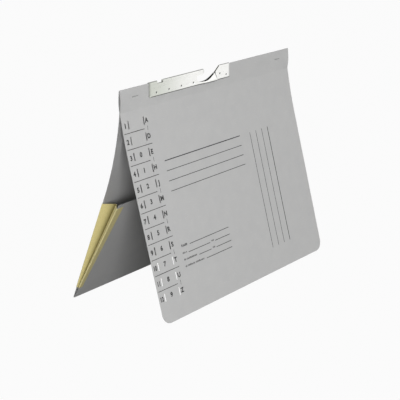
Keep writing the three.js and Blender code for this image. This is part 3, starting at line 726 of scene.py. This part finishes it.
def gusset(end):
    """A folded tape between the back and the panel: its section is a lap, a leaf down to the valley, a leaf
    back and a lap, carried up between the two sheets, with round bends. The first leaf gets painted shade
    towards the valley, and the fold over the panel's edge gets a painted highlight."""
    on_back, on_panel, height = tape_rails()
    share = np.linspace(0, 1, TAPE_ROWS)[:, None]
    way = on_panel - on_back
    width = np.linalg.norm(way, axis=1, keepdims=True)
    way = way / width
    edge = WIDTH / 2
    outside, lay = edge + TAPE_GAP + TAPE / 2, CARD / 2 + TAPE_GAP + TAPE / 2
    meeting = 2 * lay + GUSSET_VALLEY
    valley = outside - GUSSET_DEPTH * (width - meeting) / (width[-1] - meeting)
    lap = TAPE_LAP_FOOT + share * (TAPE_LAP - TAPE_LAP_FOOT)
    same = np.ones_like(width)
    corners = [
        (edge - lap, -lay * same), (outside * same, -lay * same), (outside * same, lay * same),
        (valley, width / 2 - GUSSET_VALLEY / 2), (valley, width / 2 + GUSSET_VALLEY / 2),
        (outside * same, width - lay), (outside * same, width + lay), (edge - lap, width + lay),
    ]
    line = rounded_corners(np.stack([np.concatenate(pair, 1) for pair in corners], 1), TAPE_BEND)
    runs = [np.linspace(line[:, i], line[:, i + 1], 5, axis=1)[:, :-1] for i in range(line.shape[1] - 1)]
    line = np.concatenate([*runs, line[:, -1:]], 1)
    tangent = np.gradient(line, axis=1)
    tangent /= np.linalg.norm(tangent, axis=2, keepdims=True)
    normal = np.stack([-tangent[..., 1], tangent[..., 0]], -1)
    faces_at = []
    for side in (1, -1):
        section = line + side * TAPE / 2 * normal
        yz = on_back[:, None] + way[:, None] * section[..., 1:]
        faces_at.append(np.concatenate([end * section[..., :1], yz], -1))
    points, faces = slab(*faces_at)
    lengths = np.linalg.norm(np.diff(line, axis=1), axis=2)
    along = np.cumsum(np.append(np.zeros((len(line), 1)), lengths, 1), 1)
    flat = np.stack([along, height + 0 * along], -1).reshape(-1, 2) * MM
    side_name = "left" if end < 0 else "right"
    made = piece(f"linen_gusset_{side_name}", points, faces, TAPE_FINISH, uv=np.concatenate([flat, flat]))
    x_in = line[..., 0]
    inward = np.clip((outside - x_in) / (outside - valley + 1e-6), 0, 1)
    first_leaf = (line[..., 1] < width / 2) & (line[..., 1] > lay + 0.05)
    # Painted shade on the first leaf, growing towards the valley
    valley_shade = SHADE_STRENGTH * inward**SHADE_POWER * first_leaf
    # A painted highlight on the fold over the panel's edge
    fold = np.exp(-(((x_in - outside) ** 2 + (line[..., 1] - width + lay) ** 2) / HIGHLIGHT_RADIUS**2))
    point_shares(made.data, "valley_shade", np.tile(valley_shade.ravel(), 2))
    point_shares(made.data, "fold_highlight", np.tile(HIGHLIGHT_STRENGTH * fold.ravel(), 2))
    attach(made, "back")
    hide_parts(f"pocket_gusset_{side_name}")


for end in (-1, 1):
    gusset(end)


# Steel

# The swell of the front wall: its height, then where each of its slopes starts and how long it is
SWELL, SWELL_RISE, SWELL_FALL, SWELL_DROP = 1.8, (-23.6, 15.6), (7.5, 6.1), (7.0, 8.2)

# Close grid lines over the swell, over the pits and above the lower edge, in x and in depth
SWELL_COLUMNS, PIT_ROWS = np.arange(-24, 15, 1.5), np.arange(7.7, 13.8, 0.27)
FOOT_BAND, FOOT_FADE = 0.7, 1.0

CUT_CORNER = 1.8
SLIT = ((6.4, -5.7), (7.7, -12.9), (8.6, -12.9), (7.5, -5.7))

# The stretch in x that gets full painted shade, for the dark gap behind the hook: inside the rail, and on the
# cut edges of the hook and the slit
SHADE_LEFT, SHADE_INSIDE_RIGHT, SHADE_EDGE_RIGHT = -26.0, 7.6, 9.0

# How much painted shade the fold, the rail's ends, the hook's lip and the inside get, and how dark the
# painted shadow line along the lower edge is
FOLD_SHADE, END_SHADE, FOOT_SHADOW, LIP_SHADE, INSIDE_SHADE = 0.7, 0.4, 0.95, 0.8, 0.3
LIP_MIDDLE, LIP_SPREAD, LIP_RIGHT, LIP_FOOT = -13.6, 1.3, -12, -5.7


def rail_swell(x, depth, side):
    """How far the front wall stands out below the hook: smooth steps along the rail and down it."""
    rise, fall, drop = (
        smooth((place - start) / length)
        for place, (start, length) in ((x, SWELL_RISE), (x, SWELL_FALL), (depth, SWELL_DROP))
    )
    return SWELL * rise * (1 - fall) * drop * (side < 0)


def read(collection, key, width=1, kind=np.float32):
    """One property of every item in a mesh's collection, as numbers or as rows of this width."""
    values = np.empty(len(collection) * width, kind)
    collection.foreach_get(key, values)
    return values.reshape(-1, width) if width > 1 else values


def dull_cut_edges(mesh):
    """The faces that the hook and the slit cut through the steel's thickness get full painted shade, for the
    dark gap behind them, each by its own corners."""
    at_point = read(mesh.attributes["painted_shade"].data, "value")
    corner_of = read(mesh.loops, "vertex_index", kind=np.int32)
    counts = read(mesh.polygons, "loop_total", kind=np.int32)
    x = (read(mesh.polygons, "center", 3)[:, 0] - ORIGIN[0]) / MM
    sideways = np.abs(read(mesh.polygons, "normal", 3)[:, 1]) < 0.3
    cut_edge = sideways & (x > SHADE_LEFT) & (x < SHADE_EDGE_RIGHT)
    corners = np.where(np.repeat(cut_edge, counts), 1.0, at_point[corner_of])
    mesh.attributes.remove(mesh.attributes["painted_shade"])
    mesh.attributes.new("painted_shade", "FLOAT", "CORNER").data.foreach_set("value", corners.astype(np.float32))


def steel_rail():
    """The rail's strip: straight up the front, a half circle over the spine and straight down the back. The
    front wall swells under the hook, and each pit sinks by (1 - r²/R²)² of its depth. Bends, ends, the hook's
    lip and pits get painted shade, the lower edge a painted shadow line, and the inside painted shade too."""
    near = np.linspace(-PIT_RADIUS, PIT_RADIUS, 11)
    at_pits = np.add.outer([x for x, _ in PITS], near).ravel()
    xs = steps([RAIL_LEFT, RAIL_RIGHT, *at_pits, *SWELL_COLUMNS], 4)
    foot = (RAIL_DROP - FOOT_FADE, RAIL_DROP - FOOT_BAND, RAIL_DROP)
    wall = steps([-RAIL_BEND, *PIT_ROWS, *foot], 1.2)
    turn = np.linspace(0, math.pi, 15)[1:-1]
    middle = RAIL_MIDDLE
    y = np.concatenate([np.full(len(wall), -middle), -middle * np.cos(turn), np.full(len(wall), middle)])
    z = np.concatenate([-wall[::-1], RAIL_BEND + middle * np.sin(turn), -wall])
    up = np.clip(z - RAIL_BEND, 0, None) / middle
    x, y = np.meshgrid(xs, y)
    z, up = z[:, None] + 0 * x, up[:, None] + 0 * x
    pit = np.zeros_like(x)
    for pit_x, pit_drop in PITS:
        far = ((x - pit_x) ** 2 + (z + pit_drop) ** 2) / PIT_RADIUS**2
        pit = np.maximum(pit, np.clip(1 - far, 0, 1) ** 2)
    lift = rail_swell(x, -z, y) - PIT_DEPTH * pit
    skins = [
        np.stack([x, y + (lift + side * STEEL / 2) * y / middle, z + (lift + side * STEEL / 2) * up], -1)
        for side in (1, -1)
    ]
    edge = np.minimum(x - RAIL_LEFT, RAIL_RIGHT - x)
    # Painted shade in the pits, on the fold, at the ends and on the hook's lip, and a painted shadow line
    # along the lower edge
    painted_shade = np.maximum(np.clip(2.2 * pit, 0, 1), FOLD_SHADE * smooth((up - 0.35) / 0.3))
    painted_shade = np.maximum(painted_shade, END_SHADE * (edge < 0.3))
    painted_shade = np.maximum(painted_shade, FOOT_SHADOW * (z < FOOT_BAND + 0.05 - RAIL_DROP))
    lip = np.exp(-(((x - LIP_MIDDLE) / LIP_SPREAD) ** 2)) * (z > LIP_FOOT) * (x < LIP_RIGHT)
    painted_shade = np.maximum(painted_shade, LIP_SHADE * lip).ravel()
    # Painted shade on the inner skin: full behind the hook, lighter elsewhere
    inside = np.where((x > SHADE_LEFT) & (x < SHADE_INSIDE_RIGHT), 1.0, INSIDE_SHADE).ravel()
    rail = piece("steel_hook_rail", *slab(*skins), RAIL_FINISH)
    point_shares(rail.data, "painted_shade", np.concatenate([painted_shade, inside]))
    beside, inner, under = RAIL_LEFT - 1, RAIL_LEFT + CUT_CORNER, -RAIL_DROP - 1
    corner = np.array([
        (beside, under), (inner, under), (inner, -RAIL_DROP), (RAIL_LEFT, -RAIL_DROP + CUT_CORNER),
        (beside, -RAIL_DROP + CUT_CORNER),
    ])
    outlines = (hook_outline(), notch_outline(), np.array(SLIT), corner)
    cut(rail, [cutter(outline, RAIL_CUT) for outline in outlines])
    dull_cut_edges(rail.data)
    rail.data.shade_smooth()
    rail.data.set_sharp_from_angle(angle=SHARP)
    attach(rail, "spine")
    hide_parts("hanging_rail")


steel_rail()

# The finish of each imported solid, also of those that a piece replaces
finishes = {
    "hanging_rail": RAIL_FINISH,
    "spine_staple_left": WIRE_FINISH,
    "spine_staple_right": WIRE_FINISH,
    "fastener_base": FASTENER_FINISH,
    "fastener_bar": FASTENER_FINISH,
    "fastener_lock_left": FASTENER_FINISH,
    "fastener_lock_right": FASTENER_FINISH,
    "fastener_strip": CARD_FINISH,
    "spine_fold": CARD_FINISH,
    "front_cover": CARD_FINISH,
    "back_cover": CARD_FINISH,
    "pocket_gusset_left": TAPE_FINISH,
    "pocket_gusset_right": TAPE_FINISH,
}
for name, finish in finishes.items():
    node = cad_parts[name]
    node.data.materials.clear()
    node.data.materials.append(finish)


# Floor, light and camera


WHITE = (1.0, 1.0, 1.0, 1.0)


def seen_straight(tree):
    """1 for the rays that the camera, metal and glass see by, else 0."""
    ray = add(tree, "LightPath").outputs
    seen = ray["Is Camera Ray"]
    for kind in ("Is Glossy Ray", "Is Transmission Ray"):
        seen = add(tree, "Math", {0: seen, 1: ray[kind]}, operation="MAXIMUM").outputs[0]
    return seen


def studio_floor():
    """A pale floor: to the camera mostly a plain white that keeps a faint shadow, and a mid grey to the light
    that bounces off it, so that the inside of the folder stays in shade."""
    made, tree, output = material("white_studio_floor")
    grain = add(tree, "TexNoise", {"Vector": add(tree, "TexCoord").outputs["Object"], "Scale": 4.0})
    grey = mixed(tree, grain.outputs["Fac"], srgb("6c6c6c"), srgb("707070"))
    matt = add(tree, "BsdfDiffuse", {"Color": grey})
    plain = add(tree, "Emission", {"Color": WHITE, "Strength": 1.0})
    share = add(tree, "Math", {0: seen_straight(tree), 1: 0.96}, operation="MULTIPLY").outputs[0]
    blend = add(tree, "MixShader", {0: share, 1: matt.outputs[0], 2: plain.outputs[0]})
    tree.links.new(blend.outputs[0], output.inputs["Surface"])
    reach, below, thickness = 12, 0.0002, 0.01
    x, y = np.meshgrid(np.linspace(-reach, reach, 13), np.linspace(-reach, reach, 13))
    top = np.stack([x, y, np.full_like(x, -below)], -1)
    points, faces = slab((top - ORIGIN) / MM, (top - (0, 0, thickness) - ORIGIN) / MM)
    floor = piece("studio_floor", points, faces, made)


def studio_world(fill):
    """A white surround as the camera, metal and glass see it, and a soft fill of the given strength on the
    rest."""
    world = bpy.data.worlds.new("studio")
    world.use_nodes = True
    tree = world.node_tree
    tree.nodes.clear()
    strength = add(tree, "MapRange", {0: seen_straight(tree), 3: fill, 4: 1.0}).outputs[0]
    background = add(tree, "Background", {"Color": WHITE, "Strength": strength})
    output = add(tree, "OutputWorld")
    tree.links.new(background.outputs[0], output.inputs["Surface"])
    bpy.context.scene.world = world


def softbox(name, place, aim, size, power):
    """A square area lamp at a place in metres, turned towards its aim."""
    lamp = bpy.data.lights.new(name, "AREA")
    lamp.size, lamp.energy = size, power
    made = bpy.data.objects.new(name, lamp)
    made.location = place
    made.rotation_mode = "QUATERNION"
    made.visible_camera = False
    made.rotation_quaternion = (Vector(aim) - Vector(place)).to_track_quat("-Z", "Y")
    bpy.context.scene.collection.objects.link(made)


def photographer():
    """The camera at the photograph's angle: yaw, pitch and roll give its right, up and forward axes."""
    yaw, pitch, roll = 0.9117, 0.3047, -0.0002
    focal_pixels, image_pixels = 1196.33, 400
    ahead = np.array([math.sin(yaw), math.cos(yaw), 0.0])
    forward = math.cos(pitch) * ahead - math.sin(pitch) * np.array([0.0, 0.0, 1.0])
    level = np.array([math.cos(yaw), -math.sin(yaw), 0.0])
    above = np.cross(level, forward)
    right = math.cos(roll) * level + math.sin(roll) * above
    up = -math.sin(roll) * level + math.cos(roll) * above
    data = bpy.data.cameras.new("camera")
    data.sensor_width = 36.0
    data.lens = data.sensor_width * focal_pixels / image_pixels
    data.clip_end = 50.0
    camera = bpy.data.objects.new("camera", data)
    place = to_frame((-1083.73, -823.91, 268.0))
    axes = np.eye(4)
    axes[:3, 0], axes[:3, 1], axes[:3, 2], axes[:3, 3] = right, up, -forward, place
    camera.matrix_world = Matrix(axes.tolist())
    bpy.context.scene.collection.objects.link(camera)
    bpy.context.scene.camera = camera


studio_floor()
studio_world(fill=0.16)
softbox("key", place=(0.5, -2.1, 1.2), aim=(0, 0, 0.12), size=1.1, power=29)
softbox("front_fill", place=(-1.5, -1.75, 0.3), aim=(0, 0, 0.13), size=1.1, power=30)
softbox("left_fill", place=(-0.85, -0.12, 0.3), aim=(-0.1, 0.02, 0.1), size=0.4, power=2.2)
softbox("back_fill", place=(0.5, 2.3, 0.9), aim=(0, 0, 0.12), size=1.0, power=16)
photographer()
bpy.context.scene.view_settings.view_transform = "Standard"
